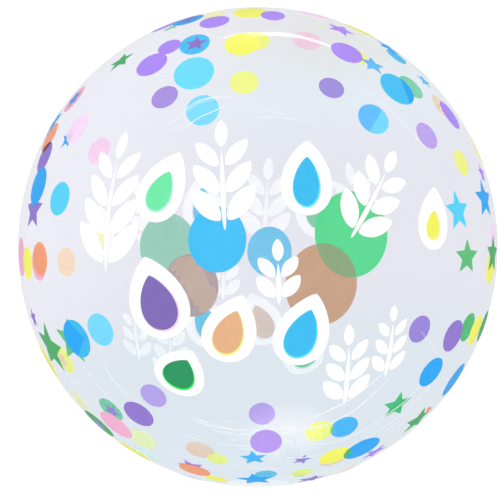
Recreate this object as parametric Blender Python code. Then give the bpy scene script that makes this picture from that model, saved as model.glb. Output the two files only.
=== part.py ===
"""Clear bubble balloon: a globe of clear stretch film with a short, flat filling neck.

The film bag and its neck are blown and welded as one piece, so the balloon is one solid.
It rests on a small flat spot under the globe, and the neck leans back clear of the table.
Units are metres and degrees. The origin is the middle of the flat spot, +Z is up, and the
printed face looks along -Y.
"""

import math

import bmesh
import bpy
import numpy as np
from mathutils import Vector

# The globe, inflated, and the flat spot that it settles on.
GLOBE_DIAMETER = 0.56
REST_SPOT_DIAMETER = 0.08

# The way the neck points: how far it leans from straight down, and how far that lean is
# turned from straight back towards +X.
NECK_LEAN = 33.5
NECK_TURN = 15.0

# The neck: a round root that is drawn out of the globe, flattened into a welded tab.
NECK_LENGTH = 0.040
NECK_ROOT_DIAMETER = 0.018
NECK_FILLET = 0.014
TAB_WIDTH = 0.026
TAB_THICKNESS = 0.0012
TAB_LENGTH = 0.018
TAB_EDGE_SHARE = 0.12

# The gathers round the neck, where the stretched film is drawn together.
PLEAT_COUNT = 12
PLEAT_HEIGHT = 0.0012
PLEAT_REACH = 0.060

# Fineness of the faceted surface.
ROUND_STEPS = 64
GLOBE_STEPS = 26
PLEAT_STEPS = 7
FILLET_STEPS = 5
FLATTEN_STEPS = 5
SMOOTH_ANGLE = 40.0

# Worked out from the sizes above.
GLOBE_RADIUS = GLOBE_DIAMETER / 2
REST_SPOT_RADIUS = REST_SPOT_DIAMETER / 2
CENTRE_HEIGHT = math.sqrt(GLOBE_RADIUS**2 - REST_SPOT_RADIUS**2)
NECK_ROOT_RADIUS = NECK_ROOT_DIAMETER / 2
FILLET_OFF_AXIS = NECK_ROOT_RADIUS + NECK_FILLET
FILLET_ALONG = math.sqrt((GLOBE_RADIUS + NECK_FILLET) ** 2 - FILLET_OFF_AXIS**2)
FILLET_ANGLE = math.atan2(FILLET_OFF_AXIS, FILLET_ALONG)
NECK_END = GLOBE_RADIUS + NECK_LENGTH
TAB_START = NECK_END - TAB_LENGTH

FILM_COLOUR = (0.80, 0.86, 0.93, 1.0)
FILM_ROUGHNESS = 0.08


def ease(share):
    """0 to 1 with a level start and end."""
    share = np.clip(share, 0.0, 1.0)
    return share * share * (3.0 - 2.0 * share)


def neck_axes():
    """The neck's own axes: across the tab, through the tab, and out along the neck."""
    lean = math.radians(NECK_LEAN)
    turn = math.radians(NECK_TURN)
    out = Vector(
        (math.sin(lean) * math.sin(turn), math.sin(lean) * math.cos(turn), -math.cos(lean))
    )
    across = Vector((0.0, 0.0, 1.0)).cross(out).normalized()
    through = out.cross(across)
    return across, through, out


def globe_profile():
    """Rings from the pole opposite the neck to the fillet: along, off axis, normal, pleat share."""
    pleat_start = FILLET_ANGLE + PLEAT_REACH / GLOBE_RADIUS
    plain = np.linspace(math.pi, pleat_start, GLOBE_STEPS + 1)[1:]
    pleated = np.linspace(pleat_start, FILLET_ANGLE, PLEAT_STEPS + 1)[1:]
    angle = np.concatenate([plain, pleated])
    share = ease((pleat_start - angle) / (pleat_start - FILLET_ANGLE))
    along = GLOBE_RADIUS * np.cos(angle)
    off_axis = GLOBE_RADIUS * np.sin(angle)
    return np.stack([along, off_axis, np.cos(angle), np.sin(angle), share], axis=1)


def fillet_profile():
    """Rings round the hollow curve that leads from the globe into the neck's root."""
    turn = np.linspace(math.pi + FILLET_ANGLE, 1.5 * math.pi, FILLET_STEPS + 1)[1:]
    along = FILLET_ALONG + NECK_FILLET * np.cos(turn)
    off_axis = FILLET_OFF_AXIS + NECK_FILLET * np.sin(turn)
    return np.stack([along, off_axis, -np.cos(turn), -np.sin(turn), np.ones_like(turn)], axis=1)


def flattening_profile():
    """Rings from the round root to the flat tab, and the tab's end: their flatness is last."""
    share = np.linspace(0.0, 1.0, FLATTEN_STEPS + 1)[1:]
    along = FILLET_ALONG + (TAB_START - FILLET_ALONG) * share
    return np.append(along, NECK_END), np.append(ease(share), 1.0)


def flat_section(turn):
    """A tube pressed flat: each point keeps its place round the film, the edges are rounded."""
    across = TAB_WIDTH / 2 * (1.0 - 2.0 * np.abs(turn / math.pi - 1.0)) * -1.0
    edge = np.clip(np.sin(turn) / math.sin(math.pi * TAB_EDGE_SHARE), -1.0, 1.0)
    return across, TAB_THICKNESS / 2 * edge


def film_rings():
    """All rings of the film, as points in the neck's own axes from the globe's centre."""
    turn = np.linspace(0.0, 2.0 * math.pi, ROUND_STEPS, endpoint=False)
    wave = 0.5 * PLEAT_HEIGHT * np.cos(PLEAT_COUNT * turn)
    rings = []
    for along, off_axis, normal_along, normal_off, share in np.vstack(
        [globe_profile(), fillet_profile()]
    ):
        radius = off_axis + wave * share * normal_off
        ahead = along + wave * share * normal_along
        rings.append(np.stack([radius * np.cos(turn), radius * np.sin(turn), ahead], axis=1))
    flat_across, flat_through = flat_section(turn)
    for along, flatness in zip(*flattening_profile()):
        radius = NECK_ROOT_RADIUS + wave * (1.0 - flatness)
        across = (1.0 - flatness) * radius * np.cos(turn) + flatness * flat_across
        through = (1.0 - flatness) * radius * np.sin(turn) + flatness * flat_through
        rings.append(np.stack([across, through, np.full_like(turn, along)], axis=1))
    return rings


def film_mesh():
    """The closed film surface: a pole, the rings joined by quads, and the tab's welded end."""
    across, through, out = neck_axes()
    axes = np.array([across, through, out])
    rings = film_rings()
    points = np.vstack([[0.0, 0.0, -GLOBE_RADIUS], *rings]) @ axes
    points[:, 2] += CENTRE_HEIGHT
    mesh = bmesh.new()
    verts = [mesh.verts.new(point) for point in points]
    loops = [verts[1 + i * ROUND_STEPS : 1 + (i + 1) * ROUND_STEPS] for i in range(len(rings))]
    for step in range(ROUND_STEPS):
        mesh.faces.new((verts[0], loops[0][step], loops[0][step - 1]))
    for lower, upper in zip(loops, loops[1:]):
        for step in range(ROUND_STEPS):
            mesh.faces.new((lower[step - 1], lower[step], upper[step], upper[step - 1]))
    end = loops[-1]
    half = ROUND_STEPS // 2
    mesh.faces.new((end[0], end[1], end[-1]))
    for step in range(1, half - 1):
        mesh.faces.new((end[step], end[step + 1], end[-step - 1], end[-step]))
    mesh.faces.new((end[half - 1], end[half], end[half + 1]))
    bmesh.ops.recalc_face_normals(mesh, faces=mesh.faces)
    data = bpy.data.meshes.new("film_balloon")
    mesh.to_mesh(data)
    mesh.free()
    return data


def film_material():
    """Clear stretch film, faintly blue."""
    material = bpy.data.materials.new("clear_film")
    material.use_nodes = True
    shader = material.node_tree.nodes["Principled BSDF"]
    shader.inputs["Base Color"].default_value = FILM_COLOUR
    shader.inputs["Roughness"].default_value = FILM_ROUGHNESS
    shader.inputs["Metallic"].default_value = 0.0
    return material


def rest_cutter():
    """A block below the table line, which cuts the flat spot."""
    data = bpy.data.meshes.new("rest_spot_cutter")
    mesh = bmesh.new()
    bmesh.ops.create_cube(mesh, size=GLOBE_DIAMETER)
    bmesh.ops.translate(mesh, verts=mesh.verts, vec=(0.0, 0.0, -GLOBE_RADIUS))
    mesh.to_mesh(data)
    mesh.free()
    cutter = bpy.data.objects.new("rest_spot_cutter", data)
    cutter.hide_render = True
    cutter.display_type = "WIRE"
    return cutter


def main():
    for old in list(bpy.data.objects):
        bpy.data.objects.remove(old)
    cutter = rest_cutter()
    balloon = bpy.data.objects.new("film_balloon", film_mesh())
    balloon.data.materials.append(film_material())
    balloon.data.shade_smooth()
    balloon.data.set_sharp_from_angle(angle=math.radians(SMOOTH_ANGLE))
    for made in (cutter, balloon):
        bpy.context.scene.collection.objects.link(made)
    flat = balloon.modifiers.new("rest spot", "BOOLEAN")
    flat.operation = "DIFFERENCE"
    flat.object = cutter


main()
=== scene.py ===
"""Clear bubble balloon: a globe of clear stretch film, printed front and back.

The film is one closed skin. The print lies on it as thin coats of see-through ink: confetti
dots and stars round the rim, large ovals in the middle, and opaque white brush marks.
"""

import math

import bpy
import numpy as np
from mathutils import Matrix


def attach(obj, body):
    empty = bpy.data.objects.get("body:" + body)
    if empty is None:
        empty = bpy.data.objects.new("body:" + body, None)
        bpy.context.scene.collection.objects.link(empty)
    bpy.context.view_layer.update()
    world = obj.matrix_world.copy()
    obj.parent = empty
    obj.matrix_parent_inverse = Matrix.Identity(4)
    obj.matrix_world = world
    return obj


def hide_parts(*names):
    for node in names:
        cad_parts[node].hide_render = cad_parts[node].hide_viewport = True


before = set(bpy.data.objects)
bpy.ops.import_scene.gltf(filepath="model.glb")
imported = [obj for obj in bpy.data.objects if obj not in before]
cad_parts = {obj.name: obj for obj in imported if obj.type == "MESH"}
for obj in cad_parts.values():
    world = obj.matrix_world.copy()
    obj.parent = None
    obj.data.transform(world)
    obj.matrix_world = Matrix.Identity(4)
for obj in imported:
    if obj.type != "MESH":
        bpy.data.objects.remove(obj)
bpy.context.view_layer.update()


# The film: a bag of clear stretch film about a tenth of a millimetre thick, blown up to a tight
# globe and welded at a flat filling neck. It settles on a small flat spot under its own weight.

GLOBE_RADIUS = 0.28
REST_SPOT_RADIUS = 0.04
GLOBE_CENTRE = np.array([0.0, 0.0, math.sqrt(GLOBE_RADIUS**2 - REST_SPOT_RADIUS**2)])

NECK_LEAN = math.radians(33.5)
NECK_TURN = math.radians(15.0)
NECK_LENGTH = 0.040
NECK_ROOT_RADIUS = 0.009
NECK_FILLET = 0.014
TAB_WIDTH = 0.026
TAB_THICKNESS = 0.0012
TAB_LENGTH = 0.018
TAB_EDGE_SHARE = 0.12
TAB_WELD_PITCH = 0.003
TAB_WELD_DEPTH = 0.00012

PLEAT_COUNT = 12
PLEAT_HEIGHT = 0.0012
PLEAT_REACH = 0.060
GATHER_COUNT = 31
GATHER_HEIGHT = 0.0005
GATHER_REACH = 0.11
GATHER_TURN = 0.8
GATHER_LOSS = 0.7

SWELL_DEPTH = 0.00035
SWELL_WAVES = 9
SWELL_PITCH = (14.0, 30.0)
SWELL_SEED = 5

FILM_STEPS_ROUND = 320
GLOBE_ROWS = 190
GATHER_ROWS = 50
FILLET_ROWS = 14
FLATTEN_ROWS = 14
TAB_ROWS = 12

SHARP_ANGLE = math.radians(40.0)
FILM_ALPHA = 0.2
FILM_SHINE = 0.5
FILM_GLOSS = (0.03, 0.08)
# A paler film colour laid high on one side: painted light on that side.
PAINTED_LIGHT_COLOUR = (0.42, 0.42, 0.58, 1.0)
PAINTED_LIGHT_WAY = (-0.86, 0.0, 0.51)
PAINTED_LIGHT_SPAN = (0.05, 0.26)
GATHERED_COLOUR = (0.80, 0.86, 0.92, 1.0)
GATHERED_SPAN = (0.97 * GLOBE_RADIUS, 1.01 * GLOBE_RADIUS)
CLOUD_SCALE = 7.0
CLOUD_DETAIL = 3.0
CLOUD_DRIFT = 0.16
RIPPLE_SCALE = 60.0
RIPPLE_STRETCH = (1.0, 1.0, 5.0)
RIPPLE_STRENGTH = 0.04
RIPPLE_HEIGHT = 0.0004

# The film's tone up the globe: a share of its height, with the cloud's drift added, and the colour
# there. The grey top band and the bluer band below it are a painted reflection of a lamp's edge:
# dark above the edge, light below it.
FILM_TONE_AND_PAINTED_REFLECTION = (
    (0.12, (0.08, 0.28, 0.44, 1.0)),
    (0.24, (0.13, 0.28, 0.42, 1.0)),
    (0.34, (0.13, 0.28, 0.42, 1.0)),
    (0.50, (0.27, 0.28, 0.43, 1.0)),
    (0.76, (0.27, 0.28, 0.43, 1.0)),
    (0.92, (0.24, 0.42, 0.56, 1.0)),
    (1.00, (0.26, 0.265, 0.27, 1.0)),
)

NECK_OUT = np.array(
    [
        math.sin(NECK_LEAN) * math.sin(NECK_TURN),
        math.sin(NECK_LEAN) * math.cos(NECK_TURN),
        -math.cos(NECK_LEAN),
    ]
)
NECK_ACROSS = np.cross([0.0, 0.0, 1.0], NECK_OUT) / math.sin(NECK_LEAN)
NECK_AXES = np.array([NECK_ACROSS, np.cross(NECK_OUT, NECK_ACROSS), NECK_OUT])
FILLET_OFF = NECK_ROOT_RADIUS + NECK_FILLET
FILLET_ALONG = math.sqrt((GLOBE_RADIUS + NECK_FILLET) ** 2 - FILLET_OFF**2)
FILLET_ANGLE = math.atan2(FILLET_OFF, FILLET_ALONG)


def ease(share):
    """Three times the square less twice the cube: 0 to 1 with a level start and end."""
    share = np.clip(share, 0.0, 1.0)
    return share * share * (3.0 - 2.0 * share)


def full_turn(steps):
    """Even angles round a full turn."""
    return np.linspace(0.0, 2.0 * math.pi, steps, endpoint=False)


def pleats(turn, away):
    """Folds that run out from the neck: two cosines of the turn about its axis, a coarse and a
    fine one, each eased out with the way from the neck. The fine one is weaker at its root."""
    coarse = 0.5 * PLEAT_HEIGHT * ease(1.0 - away / PLEAT_REACH) * np.cos(PLEAT_COUNT * turn)
    fine = 0.5 * GATHER_HEIGHT * ease(1.0 - away / GATHER_REACH)
    fine = fine * np.cos(GATHER_COUNT * turn + GATHER_TURN)
    return coarse + fine * (1.0 - GATHER_LOSS * ease(1.0 - away / NECK_FILLET))


def film_height(directions):
    """Height of the film over the globe along directions from its centre: soft hollows, a mean
    of sines along fixed axes, which ease out at the neck, and the neck's pleats."""
    random = np.random.default_rng(SWELL_SEED)
    axes = random.normal(size=(SWELL_WAVES, 3))
    axes /= np.linalg.norm(axes, axis=1, keepdims=True)
    pitch = random.uniform(*SWELL_PITCH, SWELL_WAVES)
    phase = random.uniform(0.0, 2.0 * math.pi, SWELL_WAVES)
    waves = np.sin(directions @ (axes * pitch[:, None]).T + phase)
    hollow = -0.5 * SWELL_DEPTH * (1.0 + waves.mean(axis=-1))
    across, through, out = np.moveaxis(directions @ NECK_AXES.T, -1, 0)
    away = (np.arccos(np.clip(out, -1.0, 1.0)) - FILLET_ANGLE) * GLOBE_RADIUS
    return hollow * ease(away / PLEAT_REACH) + pleats(np.arctan2(through, across), away)


def film_surface():
    """Rings about the neck's axis, each a row of points. The globe is a circle's arc turned
    about that axis, the fillet is a hollow arc, and the neck blends a circle into a flat loop."""
    turn = full_turn(FILM_STEPS_ROUND)
    gather_angle = FILLET_ANGLE + GATHER_REACH / GLOBE_RADIUS
    plain = np.linspace(math.pi, gather_angle, GLOBE_ROWS + 1)[1:]
    gathered = np.linspace(gather_angle, FILLET_ANGLE, GATHER_ROWS + 1)[1:]
    angle = np.concatenate([plain, gathered])[:, None]
    along = np.broadcast_to(np.cos(angle), (len(angle), FILM_STEPS_ROUND))
    globe = np.stack([np.sin(angle) * np.cos(turn), np.sin(angle) * np.sin(turn), along], axis=-1)
    globe = globe @ NECK_AXES
    globe = globe * (GLOBE_RADIUS + film_height(globe))[..., None]

    root_fold = pleats(turn, 0.0)
    hollow = np.linspace(math.pi + FILLET_ANGLE, 1.5 * math.pi, FILLET_ROWS + 1)[1:, None]
    radius = FILLET_OFF + NECK_FILLET * np.sin(hollow) - root_fold * np.sin(hollow)
    ahead = FILLET_ALONG + NECK_FILLET * np.cos(hollow) - root_fold * np.cos(hollow)
    fillet = np.stack([radius * np.cos(turn), radius * np.sin(turn), ahead], axis=-1)

    share = ease(np.linspace(0.0, 1.0, FLATTEN_ROWS + 1)[1:])
    neck_end = GLOBE_RADIUS + NECK_LENGTH
    tab_start = neck_end - TAB_LENGTH
    flatness = np.concatenate([share, np.ones(TAB_ROWS)])[:, None]
    ahead = np.concatenate(
        [
            np.linspace(FILLET_ALONG, tab_start, FLATTEN_ROWS + 1)[1:],
            np.linspace(tab_start, neck_end, TAB_ROWS + 1)[1:],
        ]
    )[:, None]
    weld = TAB_WELD_DEPTH * np.cos(2.0 * math.pi * (ahead - tab_start) / TAB_WELD_PITCH)
    half = TAB_THICKNESS / 2 - TAB_WELD_DEPTH + weld * (flatness == 1.0)
    edge = np.clip(np.sin(turn) / math.sin(math.pi * TAB_EDGE_SHARE), -1.0, 1.0)
    flat_across = -TAB_WIDTH / 2 * (1.0 - 2.0 * np.abs(turn / math.pi - 1.0))
    round_radius = NECK_ROOT_RADIUS + root_fold * (1.0 - flatness)
    across = (1.0 - flatness) * round_radius * np.cos(turn) + flatness * flat_across
    through = (1.0 - flatness) * round_radius * np.sin(turn) + flatness * half * edge
    neck = np.stack([across, through, np.broadcast_to(ahead, across.shape)], axis=-1)

    points = np.concatenate([globe, np.concatenate([fillet, neck]) @ NECK_AXES]) + GLOBE_CENTRE
    points[..., 2] = np.maximum(points[..., 2], 0.0)
    return points


def grid_faces(rows, cols, closed_rows=False):
    """Quads between neighbouring rows, round each row, as vertex numbers."""
    row = np.arange(rows if closed_rows else rows - 1)[:, None]
    col = np.arange(cols)[None, :]
    after_row = (row + 1) % rows
    after_col = (col + 1) % cols
    corners = [row * cols + col, row * cols + after_col, after_row * cols + after_col]
    corners.append(after_row * cols + col)
    return np.stack(corners, axis=-1).reshape(-1, 4)


def make_piece(name, points, faces, material, slot):
    """A smooth mesh with sharp edges kept, which rides on the balloon."""
    mesh = bpy.data.meshes.new(name)
    mesh.from_pydata(points.tolist(), [], faces)
    mesh.validate()
    mesh.materials.append(material)
    mesh.shade_smooth()
    mesh.set_sharp_from_angle(angle=SHARP_ANGLE)
    piece = bpy.data.objects.new(name, mesh)
    bpy.context.scene.collection.objects.link(piece)
    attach(piece, "root")
    return piece


def film_faces(rows, cols):
    """Quads of the grid, a fan at the far pole, and a ladder across the tab's flat end."""
    faces = grid_faces(rows, cols).tolist()
    pole = rows * cols
    faces += [(pole, (j + 1) % cols, j) for j in range(cols)]
    last = (rows - 1) * cols
    half = cols // 2
    faces.append((last, last + 1, last + cols - 1))
    for j in range(1, half - 1):
        faces.append((last + j, last + j + 1, last + cols - j - 1, last + cols - j))
    faces.append((last + half - 1, last + half, last + half + 1))
    return faces


def new_material(name, cover, shine):
    """A material whose shader holds its cover and shine as plain values: the material, its
    node tree and the shader's inputs."""
    material = bpy.data.materials.new(name)
    material.use_nodes = True
    shader = material.node_tree.nodes["Principled BSDF"]
    shader.inputs["Alpha"].default_value = cover
    shader.inputs["Specular IOR Level"].default_value = shine
    return material, material.node_tree, shader.inputs


def own_place(tree):
    """The place of a point in its object's own coordinates."""
    return tree.nodes.new("ShaderNodeTexCoord").outputs["Object"]


def noise(tree, place, scale, detail=2.0):
    """Soft noise between 0 and 1, with about scale lumps to the metre."""
    lumps = tree.nodes.new("ShaderNodeTexNoise")
    lumps.inputs["Scale"].default_value = scale
    lumps.inputs["Detail"].default_value = detail
    tree.links.new(place, lumps.inputs["Vector"])
    return lumps.outputs["Fac"]


def ranged(tree, value, start, end, low=0.0, high=1.0, course="LINEAR"):
    """Runs from low to high while a value runs from start to end, and is level beyond them."""
    step = tree.nodes.new("ShaderNodeMapRange")
    step.interpolation_type = course
    for name, number in zip(("From Min", "From Max", "To Min", "To Max"), (start, end, low, high)):
        step.inputs[name].default_value = number
    tree.links.new(value, step.inputs["Value"])
    return step.outputs["Result"]


def banded(tree, value, bands):
    """A colour that runs straight from band to band, each a value and its colour."""
    ramp = tree.nodes.new("ShaderNodeValToRGB")
    stops = ramp.color_ramp.elements
    for stop, (position, colour) in zip(stops, (bands[0], bands[-1])):
        stop.position = position
        stop.color = colour
    for position, colour in bands[1:-1]:
        stops.new(position).color = colour
    tree.links.new(value, ramp.inputs["Fac"])
    return ramp.outputs["Color"]


def laid_over(tree, place, way, span, colour, top):
    """One colour over another: a smooth step over a span of metres, which is measured along a
    way from the globe's centre."""
    along = tree.nodes.new("ShaderNodeVectorMath")
    along.operation = "DOT_PRODUCT"
    along.inputs[1].default_value = way
    tree.links.new(place, along.inputs[0])
    middle = float(GLOBE_CENTRE @ np.array(way))
    start, end = middle + span[0], middle + span[1]
    mixed = tree.nodes.new("ShaderNodeMix")
    mixed.data_type = "RGBA"
    mixed.inputs["B"].default_value = top
    share = ranged(tree, along.outputs["Value"], start, end, course="SMOOTHSTEP")
    tree.links.new(share, mixed.inputs["Factor"])
    tree.links.new(colour, mixed.inputs["A"])
    return mixed.outputs["Result"]


def film_material():
    """Clear film: greyer at the crown with a bluer band below it, which paint a reflection; bluer
    low down; paler high on one side, which is painted light; whiter where it is gathered at the
    neck; with faint cloudiness and fine ripples."""
    material, tree, inputs = new_material("clear_film", FILM_ALPHA, FILM_SHINE)
    place = own_place(tree)
    split = tree.nodes.new("ShaderNodeSeparateXYZ")
    tree.links.new(place, split.inputs[0])
    drift = tree.nodes.new("ShaderNodeMath")
    drift.operation = "MULTIPLY_ADD"
    drift.inputs[1].default_value = CLOUD_DRIFT
    tree.links.new(noise(tree, place, CLOUD_SCALE, CLOUD_DETAIL), drift.inputs[0])
    tree.links.new(ranged(tree, split.outputs["Z"], 0.0, 2.0 * GLOBE_RADIUS), drift.inputs[2])
    # The top two bands of this tone paint a reflection in the film.
    colour = banded(tree, drift.outputs[0], FILM_TONE_AND_PAINTED_REFLECTION)
    # The paler colour high on one side is painted light.
    colour = laid_over(tree, place, PAINTED_LIGHT_WAY, PAINTED_LIGHT_SPAN, colour, PAINTED_LIGHT_COLOUR)
    colour = laid_over(tree, place, NECK_OUT.tolist(), GATHERED_SPAN, colour, GATHERED_COLOUR)
    tree.links.new(colour, inputs["Base Color"])

    stretch = tree.nodes.new("ShaderNodeMapping")
    stretch.inputs["Scale"].default_value = RIPPLE_STRETCH
    tree.links.new(place, stretch.inputs["Vector"])
    ripple = noise(tree, stretch.outputs["Vector"], RIPPLE_SCALE)
    tree.links.new(ranged(tree, ripple, 0.0, 1.0, *FILM_GLOSS), inputs["Roughness"])
    bump = tree.nodes.new("ShaderNodeBump")
    bump.inputs["Strength"].default_value = RIPPLE_STRENGTH
    bump.inputs["Distance"].default_value = RIPPLE_HEIGHT
    tree.links.new(ripple, bump.inputs["Height"])
    tree.links.new(bump.outputs["Normal"], inputs["Normal"])
    return material


film_rings = film_surface()
film_pole = GLOBE_CENTRE - (GLOBE_RADIUS + film_height(-NECK_OUT)) * NECK_OUT
film = make_piece(
    "film",
    np.vstack([film_rings.reshape(-1, 3), film_pole]),
    film_faces(len(film_rings), FILM_STEPS_ROUND),
    film_material(),
    "clear_film",
)
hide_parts("film_balloon")


# The viewpoint: level with the globe, seven radii from its centre, a little to the left and
# below. Places on the print are read through it, as pixels of a frame 500 wide.

FRAME_PIXELS = 500
SENSOR_WIDTH = 36.0
LENS = 119.7
VIEW_DISTANCE = 7.0 * GLOBE_RADIUS
VIEW_AZIMUTH = math.radians(-1.15)
VIEW_ELEVATION = math.radians(-1.4)
CENTRE_PIXEL = (257.7, 247.0)
FOCAL_PIXELS = LENS / SENSOR_WIDTH * FRAME_PIXELS

view_back = np.array(
    [
        math.sin(VIEW_AZIMUTH) * math.cos(VIEW_ELEVATION),
        -math.cos(VIEW_AZIMUTH) * math.cos(VIEW_ELEVATION),
        math.sin(VIEW_ELEVATION),
    ]
)
view_place = GLOBE_CENTRE + VIEW_DISTANCE * view_back


def unit(vector):
    """The vector at length one."""
    return vector / np.linalg.norm(vector)


def level_right(way):
    """The level direction to the right when a way points at the eye."""
    return unit(np.cross([0.0, 0.0, 1.0], way))


def pose(thing, axes, place):
    """Turns a camera or lamp to its right, up and back, sets it in its place and links it."""
    matrix = np.eye(4)
    matrix[:3, :3] = np.stack(axes, axis=1)
    matrix[:3, 3] = place
    thing.matrix_world = Matrix(matrix.tolist())
    bpy.context.scene.collection.objects.link(thing)


def view_axes():
    """Right, up and back of a camera whose frame holds the globe's middle at its pixel."""
    right = level_right(view_back)
    up = np.cross(view_back, right)
    aside = (CENTRE_PIXEL[0] - FRAME_PIXELS / 2) / FOCAL_PIXELS
    above = (FRAME_PIXELS / 2 - CENTRE_PIXEL[1]) / FOCAL_PIXELS
    back = unit(view_back + aside * right + above * up)
    right = level_right(back)
    return right, np.cross(back, right), back


camera_data = bpy.data.cameras.new("view")
camera_data.lens = LENS
camera_data.sensor_width = SENSOR_WIDTH
camera_data.sensor_fit = "HORIZONTAL"
camera = bpy.data.objects.new("view", camera_data)
pose(camera, view_axes(), view_place)
bpy.context.scene.camera = camera


def on_globe(pixel, far=False):
    """The way from the globe's centre to the film that a pixel shows, on the near side or the
    far one: a root of the ray's quadratic, or the closest approach of a ray that just misses."""
    flat = np.array([pixel[0] - FRAME_PIXELS / 2, FRAME_PIXELS / 2 - pixel[1], -FOCAL_PIXELS])
    ray = np.stack(view_axes(), axis=1) @ unit(flat)
    start = view_place - GLOBE_CENTRE
    closest = -ray @ start
    inside = GLOBE_RADIUS**2 - (start @ start - closest**2)
    half_chord = math.sqrt(max(inside, 0.0))
    point = start + ray * (closest + half_chord if far else closest - half_chord)
    return unit(point)


# The ink coats: each colour is printed on the film as thin closed patches, dried smooth. A
# patch is two hundredths of a millimetre thick, and later coats lie over earlier ones.

INK_LIFT = 0.00008
COAT_STEP = 0.00003
INK_THICKNESS = 0.00002
INK_RIM = 0.96
INK_PATCH_ROWS = 5
INK_RING_SHARES = (0.0, 0.06, 0.35, 0.65, 0.94, 1.0)
BACK_PRINT_TURN = math.radians(185.2)

# The paler ink that stands on the far side for an ink on the near side.
VEILED = {
    "white": "white_veiled",
    "green": "green_veiled",
    "blue": "blue_veiled",
    "tan": "tan_veiled",
    "mint": "green_pale",
    "leaf_green": "green_pale",
    "yellow": "yellow_faint",
    "purple": "violet_far",
    "apricot": "apricot_veiled",
}

# The patches of each ink, as points and faces.
coats = {}


def lay_on_film(directions, lift):
    """Points at a height over the film along each direction from the globe's centre."""
    height = GLOBE_RADIUS + film_height(directions) + lift
    return GLOBE_CENTRE + directions * height[..., None]


def spread(centre, flat, tilt):
    """Wraps flat points, in metres right and up of a spot, on the globe: distance and heading
    from the spot stay true. Tilt turns them anticlockwise first."""
    right = level_right(centre)
    up = np.cross(centre, right)
    across = flat[..., 0] * math.cos(tilt) - flat[..., 1] * math.sin(tilt)
    above = flat[..., 0] * math.sin(tilt) + flat[..., 1] * math.cos(tilt)
    distance = np.hypot(across, above)
    angle = distance / GLOBE_RADIUS
    scale = np.sin(angle) / np.maximum(distance, 1e-9)
    return (
        np.cos(angle)[..., None] * centre
        + (scale * across)[..., None] * right
        + (scale * above)[..., None] * up
    )


def band_shell(rows_out, lift, poles=False):
    """A closed thin shell over rows of directions, from the innermost loop out: up over the
    outer face, round the rim and back under. Poles close the middle; without them the inner
    loop has a rim too."""
    top = lay_on_film(rows_out, lift + INK_THICKNESS)
    under = lay_on_film(rows_out[::-1], lift)
    rings = np.concatenate([top, under])
    count, around = rings.shape[:2]
    faces = grid_faces(count, around, closed_rows=not poles)[:, ::-1]
    return rings.reshape(-1, 3), faces


def close_middle(points, faces, centre, lift, around):
    """Adds the two fans that close a shell's top and underside at its middle."""
    top = lay_on_film(centre, lift + INK_THICKNESS)
    under = lay_on_film(centre, lift)
    count = len(points)
    step = np.arange(around)
    after = (step + 1) % around
    start = np.stack([np.full(around, count), step, after], axis=1)
    last = count - around
    end = np.stack([np.full(around, count + 1), last + after, last + step], axis=1)
    return np.vstack([points, top, under]), faces.tolist() + start.tolist() + end.tolist()


def add_coat(ink, points, faces, both_sides):
    """Keeps a patch for its ink. The middle design is on the film's far side as well, in paler
    inks, turned about the upright through the globe's centre."""
    coats.setdefault(ink, []).append((points, faces))
    if both_sides:
        cosine = math.cos(BACK_PRINT_TURN)
        sine = math.sin(BACK_PRINT_TURN)
        turn = np.array([[cosine, sine, 0.0], [-sine, cosine, 0.0], [0.0, 0.0, 1.0]])
        turned = (points - GLOBE_CENTRE) @ turn + GLOBE_CENTRE
        coats.setdefault(VEILED.get(ink, ink), []).append((turned, faces))


def print_patch(ink, centre, outline, tilt=0.0, coat=0, both_sides=True, shift=(0.0, 0.0)):
    """A filled patch inside an outline, given in metres about its spot on the globe."""
    shares = np.append(np.linspace(0.0, INK_RIM, INK_PATCH_ROWS)[1:], 1.0)
    loops = outline[None] * shares[:, None, None] + np.array(shift)
    lift = INK_LIFT + COAT_STEP * coat
    points, faces = band_shell(spread(centre, loops, tilt), lift, poles=True)
    middle = spread(centre, np.array(shift, dtype=float), tilt)
    points, faces = close_middle(points, faces, middle, lift, len(outline))
    add_coat(ink, points, faces, both_sides)


def print_ring(ink, centre, outer, inner, tilt, coat):
    """A closed brush loop: the band between two outlines about its spot on the globe."""
    shares = np.array(INK_RING_SHARES)[:, None, None]
    loops = inner[None] * (1.0 - shares) + outer[None] * shares
    points, faces = band_shell(spread(centre, loops, tilt), INK_LIFT + COAT_STEP * coat)
    add_coat(ink, points, faces, both_sides=True)


def joined(shells):
    """One mesh of several shells: their points in a row, their faces counted on."""
    faces = []
    count = 0
    for points, shell_faces in shells:
        faces += [[corner + count for corner in face] for face in shell_faces]
        count += len(points)
    return np.vstack([points for points, _ in shells]), faces


def round_outline(width, height, steps):
    """An ellipse: the cosine and the sine of the turn, by half its width and height."""
    turn = full_turn(steps)
    return np.stack([width / 2 * np.cos(turn), height / 2 * np.sin(turn)], axis=1)


def leaf_outline(width, height, point=0.6, foot=0.0, steps=56):
    """A leaf: an ellipse whose width is narrowed towards the top by a power of the sine of half
    the angle from there, and towards the foot by a power of its cosine."""
    turn = full_turn(steps) + math.pi / 2
    from_top = np.abs((turn - math.pi / 2 + math.pi) % (2.0 * math.pi) - math.pi)
    across = np.cos(turn) * np.sin(from_top / 2) ** point * np.cos(from_top / 2) ** foot
    across *= width / 2 / np.abs(across).max()
    return np.stack([across, height / 2 * np.sin(turn)], axis=1)


# The ovals in the middle: three broad blots of see-through ink, printed first. Two of them lap,
# and their lens shows in a tone of its own.

OVAL_LAP_COAT = 4

# By ink: the middle's pixel, width and height in metres, points round the rim, and coat.
OVALS = {
    "tan": ((322.0, 285.0), (0.076, 0.085), 72, 0),
    "green": ((352.6, 234.0), (0.081, 0.089), 72, 2),
    "blue": ((217.0, 239.6), (0.060, 0.067), 64, 4),
}

for ink, (pixel, size, steps, coat) in OVALS.items():
    print_patch(ink, on_globe(pixel), round_outline(*size, steps), coat=coat)


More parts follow.
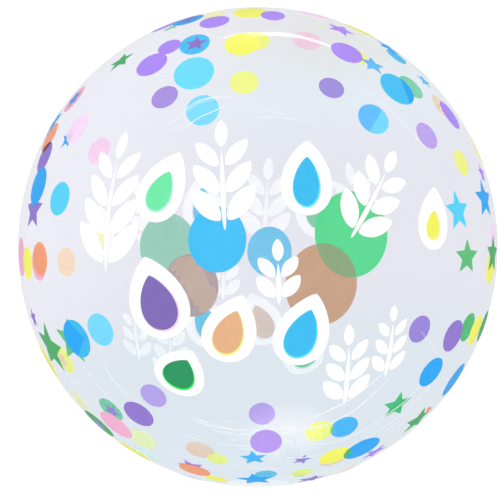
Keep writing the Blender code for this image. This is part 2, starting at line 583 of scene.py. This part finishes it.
def lens_outline(first, second, offset, steps=48):
    """Where two ellipses lie on each other: from the middle of their offset, each heading's
    shorter way to either rim. The second lies at the offset from the first."""
    turn = full_turn(steps)
    heading = np.stack([np.cos(turn), np.sin(turn)], axis=1)
    reach = []
    for size, shift in ((first, 0.5 * offset), (second, -0.5 * offset)):
        scaled = heading / (np.array(size) / 2)
        start = shift / (np.array(size) / 2)
        square = (scaled**2).sum(axis=1)
        cross = (scaled * start).sum(axis=1)
        reach.append((np.sqrt(cross**2 + square * (1.0 - start @ start)) - cross) / square)
    return heading * np.minimum(*reach)[:, None]


def print_lap(ink, blots, coat, both_sides):
    """The lens where two blots of see-through ink lap, given the spot and size of each."""
    (first, first_size), (second, second_size) = blots
    middle = unit(first + second)
    right = level_right(middle)
    up = np.cross(middle, right)
    offset = GLOBE_RADIUS * np.array([(second - first) @ right, (second - first) @ up])
    outline = lens_outline(first_size, second_size, offset)
    print_patch(ink, middle, outline, coat=coat, both_sides=both_sides)


lapping = [(on_globe(pixel), size) for pixel, size, _, _ in (OVALS["green"], OVALS["tan"])]
print_lap("tan_lap", lapping, OVAL_LAP_COAT, both_sides=True)


# The white brush marks: two rows of leaves and sprigs in opaque white, printed over the ovals.
# Some leaves are left open round a blot of colour.

BLOT_LAP = 0.004
BLOT_SHORT = 0.0022
BLOT_SHIFT = (-0.0007, 0.0009)
WHITE_COAT = 11
FILL_COAT = 9
EDGE_COAT = 7
STEM_WIDTH = 0.0055
LEAF_OFF_STEM = 0.004
LEAF_SPLAY = math.radians(40.0)
LEAF_SHRINK = 0.10
LEAF_START = 0.35
LEAF_POINT = 0.5
LEAF_FOOT = 0.4


def heart_leaf(pixel, outer, inner, tilt, ink, edge, rise):
    """A leaf left open round a blot, with a thin paler edge where the blot's two printing
    passes don't quite meet. Sizes are width and height in metres; rise is how far up the leaf
    the blot lies."""
    turn = math.radians(tilt)
    centre = on_globe(pixel)
    under = leaf_outline(inner[0] + BLOT_LAP, inner[1] + BLOT_LAP) + [0.0, rise]
    blot = leaf_outline(inner[0] - BLOT_SHORT, inner[1] - BLOT_SHORT) + [0.0, rise] + BLOT_SHIFT
    hole = leaf_outline(*inner) + [0.0, rise]
    print_ring("white", centre, leaf_outline(*outer), hole, turn, WHITE_COAT)
    print_patch(ink, centre, blot, turn, FILL_COAT)
    print_patch(edge, centre, under, turn, EDGE_COAT, both_sides=False)


def sprig(pixel, heading, length, pairs, width, reach):
    """A slim stem from its foot, with pairs of leaves that shrink towards the tip and one leaf
    beyond it. The heading is in degrees anticlockwise from upright; width and reach are the
    lowest leaf's."""
    centre = on_globe(pixel)
    turn = math.radians(heading)
    stem = leaf_outline(STEM_WIDTH, length)
    print_patch("white", centre, stem, turn, WHITE_COAT, shift=(0.0, 0.5 * length))
    for pair in range(pairs + 1):
        size = 1.0 - LEAF_SHRINK * pair
        leaf = leaf_outline(size * width, size * reach, LEAF_POINT, LEAF_FOOT)
        if pair == pairs:
            shift = (0.0, length + LEAF_OFF_STEM / 2 + 0.5 * size * reach)
            print_patch("white", centre, leaf, turn, WHITE_COAT, shift=shift)
            continue
        height = length * (pair + LEAF_START) / pairs
        for splay in (LEAF_SPLAY, -LEAF_SPLAY):
            across = np.array([math.cos(splay), math.sin(splay)])
            along = np.array([-math.sin(splay), math.cos(splay)])
            leant = leaf[:, :1] * across + leaf[:, 1:] * along
            foot = np.array([-math.copysign(LEAF_OFF_STEM, splay), height])
            shift = foot + 0.5 * size * reach * along
            print_patch("white", centre, leant, turn, WHITE_COAT, shift=shift)


sprig((106, 272), -3, 0.118, 4, 0.022, 0.054)
heart_leaf((163, 186), (0.052, 0.078), (0.028, 0.045), -22, "mint", "mint_pale", -0.006)
sprig((225, 230), 4, 0.086, 3, 0.020, 0.045)
heart_leaf((307, 177), (0.054, 0.080), (0.029, 0.054), -4, "blue", "blue_pale", -0.005)
sprig((351, 238), -33, 0.082, 3, 0.020, 0.042)
heart_leaf((434, 218), (0.045, 0.068), (0.021, 0.032), -10, "yellow", "yellow_pale", -0.008)

heart_leaf((156, 298), (0.068, 0.088), (0.043, 0.061), 14, "purple", "lilac", -0.006)
heart_leaf((181, 372), (0.056, 0.060), (0.036, 0.040), -34, "leaf_green", "green_bright", -0.003)
heart_leaf((231, 329), (0.056, 0.076), (0.032, 0.051), -20, "apricot", "yellow_pale", -0.005)
sprig((279, 304), 2, 0.042, 2, 0.015, 0.028)
heart_leaf((304, 330), (0.058, 0.080), (0.034, 0.055), -16, "blue", "blue_pale", -0.005)
sprig((344, 404), 10, 0.072, 3, 0.017, 0.034)
sprig((385, 376), 8, 0.062, 3, 0.013, 0.026)


# The confetti: round dots and five-pointed stars in a few sizes, scattered round the rim in
# see-through inks, on the film's near side and its far side.

DOT_SPECK = 0.008
DOT_SMALL = 0.027
DOT_MIDDLE = 0.034
DOT_USUAL = 0.037
DOT_LARGE = 0.044
STAR_SMALL = 0.026
STAR_USUAL = 0.036
STAR_LARGE = 0.046
STAR_WIDEST = 0.064
STAR_WAIST = 0.46
UNDER_STAR_COAT = 0
FIRST_DOT_COAT = 2
OVER_STAR_COAT = 13
LAP_COAT = 15
DOT_CORNERS = 36


def star_outline(span, tilt, steps_per_edge=3):
    """A five-pointed star: straight edges between five tips and five inner corners."""
    turn = tilt + math.pi / 2 + np.arange(10) * math.pi / 5
    reach = np.where(np.arange(10) % 2 == 0, span / 2, span / 2 * STAR_WAIST)
    corners = np.stack([reach * np.cos(turn), reach * np.sin(turn)], axis=1)
    share = np.arange(steps_per_edge)[None, :, None] / steps_per_edge
    edges = corners[:, None] * (1.0 - share) + np.roll(corners, -1, axis=0)[:, None] * share
    return edges.reshape(-1, 2)


# Dots as pixel across, pixel down, size and, where the film is stretched, how much longer they
# are than wide, by ink: on the near side, then on the far side.
NEAR_DOTS = {
    "pink": (
        (115.6, 425.5, DOT_LARGE), (21, 257, DOT_LARGE), (74, 99, DOT_USUAL),
        (38.2, 264, DOT_USUAL),
    ),
    "yellow": (
        (250, 11.8, DOT_USUAL, 1.5), (241.5, 43.5, DOT_USUAL, 1.2), (360.5, 30.3, DOT_USUAL, 1.2),
        (477.2, 150, DOT_USUAL), (490.8, 268, DOT_USUAL), (475.6, 330.5, DOT_USUAL),
        (335.3, 456.2, DOT_USUAL), (216, 479, DOT_SMALL), (134, 451.7, DOT_LARGE),
        (47.8, 361.6, DOT_LARGE), (27.3, 263, DOT_USUAL),
    ),
    "violet": (
        (273, 15.2, DOT_SMALL, 1.5), (214.3, 21.4, DOT_MIDDLE, 1.2), (165.4, 26, DOT_USUAL),
        (347, 52.3, DOT_USUAL, 1.05), (450.1, 114.8, DOT_USUAL),
        (191.3, 478, DOT_USUAL), (151.5, 64.1, DOT_USUAL, 1.1), (169.3, 46.6, DOT_SMALL, 1.2),
    ),
    "violet_soft": ((266, 442.1, DOT_MIDDLE, 1.25),),
    "violet_deep": (
        (453.3, 336, DOT_USUAL), (138.4, 414.3, DOT_USUAL), (44.3, 157, DOT_USUAL),
    ),
    "blue_deep": (
        (188, 19.8, DOT_USUAL, 1.25), (454.1, 380, DOT_LARGE), (431.3, 372.3, DOT_USUAL),
        (362.1, 448.8, DOT_LARGE), (76.2, 338.8, DOT_LARGE), (37.9, 186, DOT_LARGE),
    ),
    "blue_clear": (
        (397.5, 88.5, DOT_LARGE, 1.1), (194.5, 43.9, DOT_MIDDLE, 1.3),
        (396.5, 56.5, DOT_SMALL, 1.2),
    ),
    "sky": ((193.7, 72.5, DOT_LARGE, 1.18),),
    "sky_deep": ((59.5, 198.6, DOT_USUAL),),
    "green_deep": ((483, 326, DOT_USUAL), (98.9, 423.8, DOT_LARGE)),
    "lilac": ((492.4, 234.6, DOT_SMALL), (77.3, 128.5, DOT_USUAL), (313.8, 14.7, DOT_USUAL)),
    "orange": (
        (39.8, 259, DOT_USUAL), (49.8, 137.2, DOT_USUAL), (194.6, 470.1, DOT_USUAL),
        (428.5, 409.3, DOT_SPECK, 2.2), (347, 470.6, DOT_USUAL),
    ),
}
FAR_DOTS = {
    "yellow_far": (
        (244, 82.2, DOT_USUAL, 1.1), (354.5, 55, DOT_USUAL), (461.6, 162.7, DOT_MIDDLE),
        (319.4, 431.3, DOT_USUAL, 1.1), (301.8, 472.8, DOT_SMALL), (217.6, 459.2, DOT_SMALL),
        (64.6, 360, DOT_USUAL), (255, 40.5, DOT_USUAL, 1.2),
    ),
    "yellow_faint": (
        (214, 14.6, DOT_SMALL, 1.4), (142.7, 439.8, DOT_USUAL, 1.25), (79.5, 401, DOT_SMALL, 1.2),
    ),
    "violet_far": (
        (164.5, 96.9, DOT_USUAL), (331.6, 87.7, DOT_MIDDLE, 1.05), (419.8, 329.2, DOT_USUAL),
    ),
    "violet_pale": (
        (427, 135.5, DOT_USUAL), (262, 413.9, DOT_MIDDLE, 1.15), (153.3, 395.9, DOT_USUAL),
    ),
    "blue_far": ((373.6, 118.8, DOT_LARGE, 1.07), (344.3, 427.3, DOT_USUAL, 1.1)),
    "blue_veiled": ((266, 474.3, DOT_SMALL),),
    "sky_far": ((202.5, 110, DOT_LARGE, 1.12), (100.1, 329.7, DOT_LARGE)),
    "green_far": ((467.6, 327.3, DOT_USUAL),),
    "green_pale": ((411.3, 87, DOT_USUAL, 1.05), (110.8, 409.6, DOT_USUAL)),
    "green_faint": ((146.7, 454, DOT_USUAL), (297, 478, DOT_SMALL), (421, 72.2, DOT_SMALL)),
    "pink_far": ((306.6, 40.5, DOT_USUAL, 1.2), (98.9, 150.7, DOT_USUAL)),
    "peach_far": (
        (66.2, 262, DOT_USUAL), (441.5, 107, DOT_USUAL), (334, 459, DOT_USUAL),
    ),
    "coral_far": ((200, 450.2, DOT_USUAL),),
}

# Stars as pixel across, pixel down, tilt in degrees, span and stretch: over the dots, then
# under them.
NEAR_STARS = {
    "violet": (
        (340.6, 29.7, 20, STAR_USUAL, 1.05), (481.6, 173.4, 0, STAR_SMALL),
        (374.5, 452, 10, STAR_USUAL), (98.9, 424, 12, STAR_SMALL),
    ),
    "violet_deep": (
        (33.8, 318, 5, STAR_SMALL),
        (310.6, 478.8, 15, STAR_USUAL), (188.5, 19.6, 8, STAR_SMALL),
        (195.8, 43.7, 8, STAR_SMALL, 1.2),
    ),
    "blue_deep": (
        (388, 47.8, 12, STAR_USUAL), (484.2, 199, 0, STAR_LARGE, 1.3),
        (255.5, 479.3, 8, STAR_LARGE), (74, 99, 30, STAR_SMALL),
    ),
    "sky_deep": ((457.8, 211, 5, STAR_LARGE),),
    "green_deep": (
        (492.8, 254, 0, STAR_LARGE, 1.2), (417.4, 419.8, 28, STAR_LARGE, 1.1),
        (50.6, 347.3, -17, STAR_WIDEST), (121, 61.2, 30, STAR_USUAL),
    ),
}
NEAR_UNDER_STARS = {
    "violet": ((192, 466.4, 0, STAR_USUAL),),
    "violet_deep": ((33.4, 210, 0, STAR_LARGE, 1.15),),
    "blue_deep": ((53.5, 123.5, 18, STAR_LARGE), (67.5, 138.5, 0, STAR_SMALL)),
    "orange": ((47.7, 361.6, 10, STAR_SMALL),),
}
FAR_STARS = {
    "violet_far": ((301.8, 459.7, 5, STAR_SMALL), (112, 411, 10, STAR_SMALL)),
    "blue_far": (
        (372.8, 64.8, 32, STAR_USUAL), (253.5, 458, 5, STAR_USUAL),
        (424.4, 81, 25, STAR_SMALL, 1.15),
    ),
    "green_far": (
        (467.4, 257, 0, STAR_LARGE, 1.25), (396.8, 405.5, 22, STAR_LARGE, 1.05),
        (71, 341.5, -14, STAR_WIDEST),
    ),
    "green_pale": ((170.8, 27.6, 10, STAR_SMALL),),
    "coral_far": ((62.5, 360, 10, STAR_SMALL),),
}

# Dots that lap, each as its pixel and size, after the ink of the lens between them.
NEAR_LAPS = (
    ("brown_lap", ((49.8, 137.2), DOT_USUAL), ((44.3, 157), DOT_USUAL)),
    ("green_lap", ((335.3, 456.2), DOT_USUAL), ((362.1, 448.8), DOT_LARGE)),
)
FAR_LAPS = (("green_lap_far", ((319.4, 431.3), DOT_USUAL), ((344.3, 427.3), DOT_USUAL)),)

# Parts of dots in a second tone, past a straight line: the ink, the dot's pixel, size and
# stretch, the way of the kept part in degrees, and the line's place as a share of the radius.
NEAR_PARTS = (
    ("blue_deep", (397.5, 88.5), DOT_LARGE, 1.1, -12, 0.52),
    ("blue_clear", (76.2, 338.8), DOT_LARGE, 1.0, 48, 0.55),
    ("blue_clear", (76.2, 338.8), DOT_LARGE, 1.0, -47, 0.45),
)
FAR_PARTS = (("sky_far", (373.6, 118.8), DOT_LARGE, 1.07, 229, 0.17),)


def part_outline(size, way, place):
    """The part of a dot past a line: points short of the line are moved straight on to it."""
    outline = round_outline(size, size, 2 * DOT_CORNERS)
    across = np.array([math.cos(way), math.sin(way)])
    short = np.minimum(outline @ across - place * size / 2, 0.0)
    return outline - short[:, None] * across


def print_confetti(ink, spot, outline, coat, stretch=1.0):
    """A dot or star, drawn longer where the film was stretched: each point's reach along the
    line that leads away from the middle of the printed face is stretched by the number given."""
    right = level_right(spot)
    away = unit(-np.array([view_back @ right, view_back @ np.cross(spot, right)]))
    drawn = outline + (stretch - 1.0) * (outline @ away)[:, None] * away
    middle = drawn.mean(axis=0)
    print_patch(ink, spot, drawn - middle, coat=coat, both_sides=False, shift=middle)


def print_stars(stars_by_ink, far, coat):
    """A coat of stars, on the near or the far side."""
    for ink, stars in stars_by_ink.items():
        for x, y, tilt, span, *stretch in stars:
            outline = star_outline(span, math.radians(-tilt if far else tilt))
            print_confetti(ink, on_globe((x, y), far), outline, coat, *stretch)


for far, dots_by_ink in ((False, NEAR_DOTS), (True, FAR_DOTS)):
    for coat, (ink, dots) in enumerate(dots_by_ink.items(), FIRST_DOT_COAT):
        for x, y, size, *stretch in dots:
            outline = round_outline(size, size, DOT_CORNERS)
            print_confetti(ink, on_globe((x, y), far), outline, coat, *stretch)
print_stars(NEAR_STARS, False, OVER_STAR_COAT)
print_stars(NEAR_UNDER_STARS, False, UNDER_STAR_COAT)
print_stars(FAR_STARS, True, UNDER_STAR_COAT)
for far, first_coat, parts in ((False, LAP_COAT, NEAR_PARTS), (True, UNDER_STAR_COAT, FAR_PARTS)):
    for coat, (ink, pixel, size, stretch, way, place) in enumerate(parts, first_coat):
        outline = part_outline(size, math.radians(way), place)
        print_confetti(ink, on_globe(pixel, far), outline, coat, stretch)
for far, coat, laps in ((False, LAP_COAT, NEAR_LAPS), (True, UNDER_STAR_COAT, FAR_LAPS)):
    for ink, *dots in laps:
        blots = [(on_globe(pixel, far), (size, size)) for pixel, size in dots]
        print_lap(ink, blots, coat, both_sides=False)


# The inks themselves: glossy, with the fine mottle of a coat printed on stretching film. Each
# is set by the display colour it shows over the film, near, or through the whole balloon, far.

FILM_SEEN = (0.80, 0.835, 0.885)
INK_SHINE = 0.1
INK_SHEEN = 0.015
INK_DARKEST = 0.002
INK_GRAIN_SCALE = 420.0
INK_MOTTLE = ((0.3, 0.97), (0.7, 1.03))
INK_GLOSS = (0.22, 0.38)
FAR_VEIL = (0.17, 0.18, 0.20)
FAR_CLEAR = 0.64
FAR_LIGHT = (0.82, 0.87, 0.92)
FAINT_COAT = 0.35
THIN_COAT = 0.72
THICK_COAT = 0.85
DENSE_COAT = 0.93

# By ink: the display colour seen, the coat's cover, the side that it is seen on, and the slot.
INKS = {
    "white": ((255, 255, 255), 1.0, "near", "white_ink"),
    "white_veiled": ((250, 254, 254), 1.0, "far", "white_ink"),
    "green": ((100, 215, 150), THICK_COAT, "near", "green_ink"),
    "green_veiled": ((164, 213, 190), THICK_COAT, "far", "green_ink"),
    "green_lap": ((84, 196, 128), THICK_COAT, "near", "green_ink"),
    "green_lap_far": ((126, 214, 146), THICK_COAT, "far", "green_ink"),
    "green_deep": ((84, 178, 110), DENSE_COAT, "near", "green_ink"),
    "green_far": ((84, 204, 122), DENSE_COAT, "far", "green_ink"),
    "green_pale": ((146, 213, 172), THICK_COAT, "far", "green_ink"),
    "green_faint": ((230, 242, 238), THIN_COAT, "far", "green_ink"),
    "green_bright": ((20, 240, 90), THICK_COAT, "near", "green_ink"),
    "leaf_green": ((71, 159, 112), THICK_COAT, "near", "green_ink"),
    "mint": ((125, 236, 176), THICK_COAT, "near", "green_ink"),
    "mint_pale": ((160, 248, 205), THIN_COAT, "near", "green_ink"),
    "tan": ((199, 164, 139), THICK_COAT, "near", "tan_ink"),
    "tan_veiled": ((188, 176, 170), THICK_COAT, "far", "tan_ink"),
    "brown_lap": ((122, 84, 96), THICK_COAT, "near", "tan_ink"),
    "tan_lap": ((203, 205, 196), FAINT_COAT, "near", "tan_ink"),
    "apricot": ((232, 184, 145), THICK_COAT, "near", "orange_ink"),
    "apricot_veiled": ((222, 208, 196), THICK_COAT, "far", "orange_ink"),
    "coral_far": ((255, 216, 194), THICK_COAT, "far", "orange_ink"),
    "orange": ((255, 164, 128), THICK_COAT, "near", "orange_ink"),
    "peach_far": ((253, 222, 192), THICK_COAT, "far", "orange_ink"),
    "blue": ((82, 194, 248), THICK_COAT, "near", "blue_ink"),
    "blue_veiled": ((135, 207, 236), THICK_COAT, "far", "blue_ink"),
    "blue_pale": ((110, 225, 255), THIN_COAT, "near", "blue_ink"),
    "blue_clear": ((80, 194, 255), THICK_COAT, "near", "blue_ink"),
    "blue_deep": ((54, 172, 251), DENSE_COAT, "near", "blue_ink"),
    "blue_far": ((104, 196, 250), THICK_COAT, "far", "blue_ink"),
    "sky": ((118, 217, 255), THIN_COAT, "near", "blue_ink"),
    "sky_deep": ((94, 211, 255), THICK_COAT, "near", "blue_ink"),
    "sky_far": ((138, 225, 255), THICK_COAT, "far", "blue_ink"),
    "purple": ((137, 120, 188), THICK_COAT, "near", "violet_ink"),
    "violet": ((176, 143, 246), THICK_COAT, "near", "violet_ink"),
    "violet_soft": ((186, 158, 236), THICK_COAT, "near", "violet_ink"),
    "violet_deep": ((150, 126, 208), THICK_COAT, "near", "violet_ink"),
    "violet_far": ((174, 150, 222), THICK_COAT, "far", "violet_ink"),
    "violet_pale": ((200, 176, 238), THICK_COAT, "far", "violet_ink"),
    "lilac": ((240, 215, 250), THIN_COAT, "near", "violet_ink"),
    "pink": ((244, 180, 212), THICK_COAT, "near", "pink_ink"),
    "pink_far": ((250, 212, 234), THICK_COAT, "far", "pink_ink"),
    "yellow": ((254, 254, 108), THICK_COAT, "near", "yellow_ink"),
    "yellow_far": ((255, 254, 138), THICK_COAT, "far", "yellow_ink"),
    "yellow_faint": ((250, 250, 188), THIN_COAT, "far", "yellow_ink"),
    "yellow_pale": ((255, 244, 150), THIN_COAT, "near", "yellow_ink"),
}


def ink_body(seen, cover, side):
    """The ink's own colour, in linear light, from the display colour seen: less the sheen and
    what shows through the coat, over what its two faces send back. On the far side the
    balloon's own veil and dimming come off first."""
    display = np.array(seen) / 255.0
    light = np.where(display < 0.04045, display / 12.92, ((display + 0.055) / 1.055) ** 2.4)
    through = (1.0 - cover) ** 2
    if side == "far":
        light = (light - np.array(FAR_VEIL) - FAR_CLEAR * through) / np.array(FAR_LIGHT)
    else:
        light = light - INK_SHEEN - through * np.array(FILM_SEEN)
    return np.clip(light / (cover + cover * through), INK_DARKEST, 1.0)


def ink_material(name, seen, cover, side):
    """Ink coat: see-through colours are mottled a little by fine grain, and the same grain
    breaks the gloss."""
    material, tree, inputs = new_material(name, cover, INK_SHINE)
    grain = noise(tree, own_place(tree), INK_GRAIN_SCALE)
    body = ink_body(seen, cover, side)
    if cover < 1.0:
        mottle = [(at, (*np.clip(body * tone, 0.0, 1.0), 1.0)) for at, tone in INK_MOTTLE]
        tree.links.new(banded(tree, grain, mottle), inputs["Base Color"])
    else:
        inputs["Base Color"].default_value = (*body, 1.0)
    tree.links.new(ranged(tree, grain, 0.0, 1.0, *INK_GLOSS), inputs["Roughness"])
    return material


for ink, patches in coats.items():
    *look, slot = INKS[ink]
    name = "ink_" + ink
    make_piece(name, *joined(patches), ink_material(name, *look), slot)


# Creases: fine raised lines where the stretched film has folded over itself, coloured near-white
# to paint the highlights that the folds catch, most of them in long arcs low down, with broader
# and fainter white streaks beside them that paint a sheen.

CREASE_LIFT = 0.00005
CREASE_HEIGHT = 0.00012
CREASE_CROWN = 1.05
CREASE_SECTION = (-1.0, -0.6, -0.2, 0.2, 0.6, 1.0)
CREASE_END = 0.01
CREASE_STEPS = 56
CREASE_COVER = 0.92
STREAK_COVER = 0.12
# This near-white of the creases and streaks is painted highlight and sheen, not the film's own
# colour.
CREASE_PAINTED_HIGHLIGHT = (0.97, 0.985, 1.0, 1.0)
CREASE_GRAIN_SCALE = 180.0
CREASE_GLOSS = (0.12, 0.30)


def smooth_path(corners, steps):
    """A curve through the corners: on each stretch the cubic that leaves and meets a corner
    along the line joining that corner's neighbours."""
    corners = np.asarray(corners, dtype=float)
    padded = np.vstack([2 * corners[0] - corners[1], corners, 2 * corners[-1] - corners[-2]])
    place = np.linspace(0.0, len(corners) - 1.0, steps)
    part = np.minimum(place.astype(int), len(corners) - 2)
    share = (place - part)[:, None]
    before, start, end, after = (padded[part + k] for k in range(4))
    return 0.5 * (
        2 * start
        + (end - before) * share
        + (2 * before - 5 * start + 4 * end - after) * share**2
        + (3 * start - before - 3 * end + after) * share**3
    )


def crease(corners, width):
    """A crowned ribbon along pixels. Its width follows the root of a sine from end to end, and
    its height falls with the square of the way from its middle."""
    path = np.array([on_globe(corner) for corner in smooth_path(corners, CREASE_STEPS)])
    ahead = np.gradient(path, axis=0)
    side = np.cross(ahead, path)
    side /= np.linalg.norm(side, axis=1, keepdims=True)
    run = np.concatenate([[0.0], np.cumsum(np.linalg.norm(np.diff(path, axis=0), axis=1))])
    taper = np.sqrt(np.maximum(np.sin(math.pi * run / run[-1]), CREASE_END))
    across = np.array(CREASE_SECTION)
    reach = (0.5 * width / GLOBE_RADIUS) * taper[:, None] * across
    spots = path[:, None] + side[:, None] * reach[..., None]
    spots /= np.linalg.norm(spots, axis=-1, keepdims=True)
    crown = CREASE_LIFT + CREASE_HEIGHT * taper[:, None] * (CREASE_CROWN - across**2)
    top = lay_on_film(spots, crown)
    under = lay_on_film(spots[:, ::-1], np.full_like(crown, 0.5 * CREASE_LIFT))
    section = np.concatenate([top, under], axis=1)
    rows, around = section.shape[:2]
    faces = grid_faces(rows, around).tolist()
    faces.append(list(range(around))[::-1])
    faces.append(list(range((rows - 1) * around, rows * around)))
    return section.reshape(-1, 3), faces


# Each line is its width in metres and the pixels that it passes.
PAINTED_HIGHLIGHT_CREASES = (
    (0.0022, (196, 422.5), (216, 427), (234, 429.5), (254, 430.5)),
    (0.0024, (246, 430.3), (265, 430), (280, 428.5), (294, 426), (306, 420.5)),
    (0.0036, (273, 429.5), (281, 428.5), (290, 428), (299, 426.5)),
    (0.0024, (297, 424.5), (307, 420.5), (325, 412.5), (350, 399.5), (372, 383), (387, 369.5)),
    (0.0021, (284, 430), (307, 429), (328, 424), (344, 416.5), (361, 405.5), (392, 376)),
    (0.0016, (181.7, 435), (192, 437.6), (202.5, 440.5)),
    (0.0020, (216.8, 443), (234, 445.4), (252, 446.2)),
    (0.0018, (239, 449.5), (246, 449.6), (254, 449)),
    (0.0014, (167, 451.7), (175, 454.6), (183, 457)),
    (0.0010, (223, 466), (257, 468.6), (291, 468.5)),
    (0.0020, (280, 457), (302.6, 458), (321.7, 454)),
    (
        0.0016, (302.6, 445), (329.7, 443), (347, 438), (369.6, 427), (403, 403), (420.6, 386),
        (441, 361),
    ),
    (0.0016, (349, 445.8), (364.8, 439.7), (382.3, 428.6), (398, 418), (415.8, 400), (441, 372.8)),
    (0.0015, (376, 439.7), (390, 428.6), (409.4, 411), (425.4, 393.5), (444.5, 374)),
    (0.0013, (382, 438), (398, 427), (419, 406), (435, 388.7)),
    (0.0013, (186, 108.6), (197, 101.5), (212, 97.3), (234.4, 96)),
    (0.0012, (171, 130), (185, 126), (201, 116.6), (220, 108), (233, 97.5)),
    (0.0012, (250, 118), (274, 116.4), (290, 118.8), (310.6, 121.5)),
    (0.0009, (250, 109.7), (266, 110.4), (290, 116.4)),
    (0.0009, (111.6, 84.5), (124, 76), (138.7, 68.6)),
    (0.0008, (156, 83), (165, 78.6), (174, 75)),
)
PAINTED_SHEEN_STREAKS = (
    (0.0034, (76, 352), (92, 377), (112, 402), (128, 417)),
    (0.0026, (70, 366), (86, 391), (104, 412)),
    (0.0044, (100, 360), (118, 386), (140, 405)),
    (0.0050, (236, 434.5), (262, 436.5), (292, 432.5), (318, 424.5)),
    (0.0028, (150, 440), (186, 455), (226, 462)),
    (0.0040, (164, 129), (180, 116), (196, 104), (214, 98.5), (234, 96.4)),
    (0.0036, (60, 150), (84, 108), (118, 72), (150, 48)),
    (0.0026, (72, 160), (96, 122), (128, 88), (166, 62)),
    (0.0030, (420, 330), (436, 352), (430, 372), (404, 398)),
    (0.0034, (352, 84), (384, 104), (412, 132), (430, 158)),
)


def painted_highlight_material(name, cover):
    """Near-white film colour that paints a highlight and sheen along the fold, its gloss broken by
    fine grain along the fold.
    """
    material, tree, inputs = new_material(name, cover, FILM_SHINE)
    inputs["Base Color"].default_value = CREASE_PAINTED_HIGHLIGHT
    grain = noise(tree, own_place(tree), CREASE_GRAIN_SCALE)
    tree.links.new(ranged(tree, grain, 0.0, 1.0, *CREASE_GLOSS), inputs["Roughness"])
    return material


# The creases are painted highlights and the streaks painted sheen, laid on raised ribbons.
for name, rows, cover in (
    ("painted_highlight_creases", PAINTED_HIGHLIGHT_CREASES, CREASE_COVER),
    ("painted_sheen_streaks", PAINTED_SHEEN_STREAKS, STREAK_COVER),
):
    ribbons = [crease(corners, width) for width, *corners in rows]
    make_piece(name, *joined(ribbons), painted_highlight_material(name, cover), "clear_film")


# The studio: a white floor and white surroundings, a long strip of light overhead and behind,
# and a small lamp inside the globe that brings up the print on its far side.

FLOOR_RINGS = (0.4, 1.0, 2.0, 4.0, 7.0)
FLOOR_STEPS = 96
FLOOR_GREY = (0.1, 0.1, 0.1, 1.0)
FLOOR_GLOW = 0.935
ROOM_WHITE = 1.04
MIRRORED_ROOM = 0.42
MIRRORED_TINT = (0.9, 0.95, 1.0, 1.0)
STRIP_FROM_CENTRE = (0.21, 0.74, 1.95)
STRIP_LENGTH = 1.08
STRIP_BREADTH = 0.125
STRIP_RADIANCE = 17.0
INNER_LIGHT_WATTS = 2.55
INNER_LIGHT_RADIUS = 0.12
LAYERS_SEEN_THROUGH = 40


def floor_mesh():
    """A disc: rings of points about the middle."""
    turn = full_turn(FLOOR_STEPS)
    reach = np.array(FLOOR_RINGS)
    rings = np.stack([reach[:, None] * np.cos(turn), reach[:, None] * np.sin(turn)], axis=-1)
    points = np.concatenate([rings.reshape(-1, 2), [[0.0, 0.0]]])
    points = np.hstack([points, np.zeros((len(points), 1))])
    faces = grid_faces(len(reach), FLOOR_STEPS)[:, ::-1].tolist()
    faces += [(len(points) - 1, j, (j + 1) % FLOOR_STEPS) for j in range(FLOOR_STEPS)]
    mesh = bpy.data.meshes.new("floor")
    mesh.from_pydata(points.tolist(), [], faces)
    return mesh


# The floor glows an even white, so it hardly shows a shadow, and gloss leaves it out.
floor_material, _, floor_inputs = new_material("floor_white", 1.0, 0.0)
floor_inputs["Base Color"].default_value = FLOOR_GREY
floor_inputs["Roughness"].default_value = 1.0
floor_inputs["Emission Color"].default_value = (1.0, 1.0, 1.0, 1.0)
floor_inputs["Emission Strength"].default_value = FLOOR_GLOW
floor = bpy.data.objects.new("floor", floor_mesh())
floor.data.materials.append(floor_material)
bpy.context.scene.collection.objects.link(floor)
floor.visible_glossy = False

# The surroundings are white, but gloss mirrors them dimmed, as a dark room behind the lamps.
world = bpy.data.worlds.new("white_room")
world.use_nodes = True
world_nodes = world.node_tree.nodes
white_room = world_nodes["Background"]
white_room.inputs["Color"].default_value = (1.0, 1.0, 1.0, 1.0)
white_room.inputs["Strength"].default_value = ROOM_WHITE
dim_room = world_nodes.new("ShaderNodeBackground")
dim_room.inputs["Color"].default_value = MIRRORED_TINT
dim_room.inputs["Strength"].default_value = MIRRORED_ROOM
mirrored = world_nodes.new("ShaderNodeLightPath")
room = world_nodes.new("ShaderNodeMixShader")
world.node_tree.links.new(mirrored.outputs["Is Glossy Ray"], room.inputs["Fac"])
world.node_tree.links.new(white_room.outputs[0], room.inputs[1])
world.node_tree.links.new(dim_room.outputs[0], room.inputs[2])
world.node_tree.links.new(room.outputs[0], world_nodes["World Output"].inputs["Surface"])
bpy.context.scene.world = world


# The strip is an even oval light that only gloss shows. Its watts are radiance times area
# times pi.
strip_data = bpy.data.lights.new("overhead_strip", "AREA")
strip_data.shape = "ELLIPSE"
strip_data.size = STRIP_LENGTH
strip_data.size_y = STRIP_BREADTH
strip_data.energy = STRIP_RADIANCE * STRIP_LENGTH * STRIP_BREADTH * math.pi**2 / 4
strip = bpy.data.objects.new("overhead_strip", strip_data)
strip_back = unit(np.array(STRIP_FROM_CENTRE))
strip_right = unit(np.cross([0.0, 1.0, 0.0], strip_back))
strip_axes = (strip_right, np.cross(strip_back, strip_right), strip_back)
pose(strip, strip_axes, GLOBE_CENTRE + STRIP_FROM_CENTRE)
strip.visible_diffuse = False

inner_data = bpy.data.lights.new("inner_fill", "POINT")
inner_data.energy = INNER_LIGHT_WATTS
inner_data.shadow_soft_size = INNER_LIGHT_RADIUS
inner_fill = bpy.data.objects.new("inner_fill", inner_data)
inner_fill.location = GLOBE_CENTRE.tolist()
inner_fill.visible_camera = False
inner_fill.visible_glossy = False
bpy.context.scene.collection.objects.link(inner_fill)

scene = bpy.context.scene
scene.view_settings.view_transform = "Standard"
scene.cycles.transparent_max_bounces = LAYERS_SEEN_THROUGH
